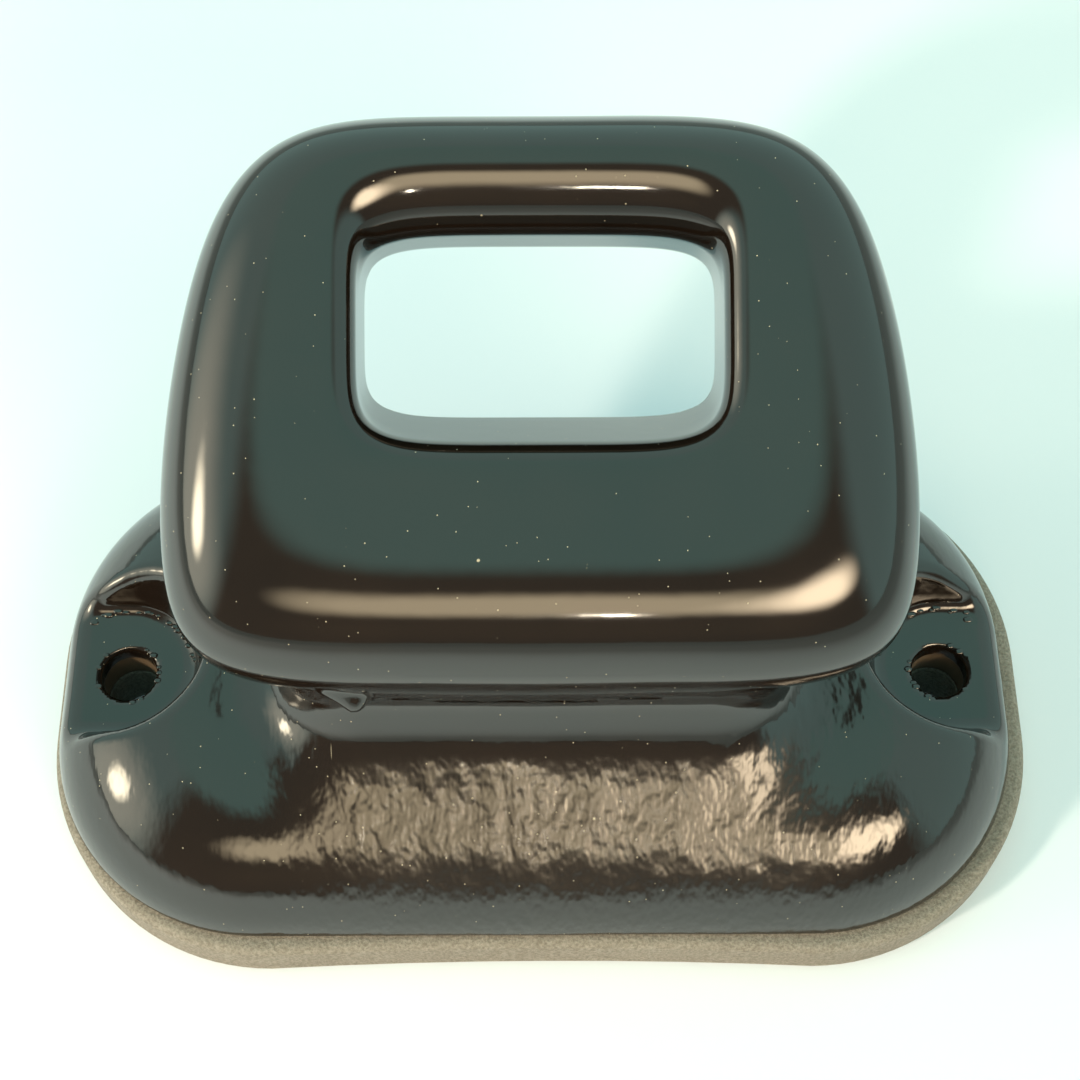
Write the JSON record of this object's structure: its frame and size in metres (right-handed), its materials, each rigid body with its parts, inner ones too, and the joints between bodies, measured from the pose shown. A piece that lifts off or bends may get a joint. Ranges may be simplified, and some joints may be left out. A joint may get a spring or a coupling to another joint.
{
  "type": "ring-head insulator",
  "caption": "Glazed insulator with an oval screw-down foot, a leaning neck and a thick ring head, on a rubber pad.",
  "frame": {"origin": "centre of the pad's underside, midway between the two screw holes", "axes": "+Z away from the mounting surface, +X along the line of the two screw holes, the ring leans towards +Y"},
  "size_m": [0.121, 0.0774, 0.0745],
  "materials": {
    "dark_glaze": "very dark brown glossy glaze, smooth on the ring and rough cast on the foot",
    "rubber": "matte grey-brown rubber with pale specks"
  },
  "bodies": {
    "root": {"glazed_body": "dark_glaze", "rubber_pad": "rubber"}
  },
  "joints": []
}
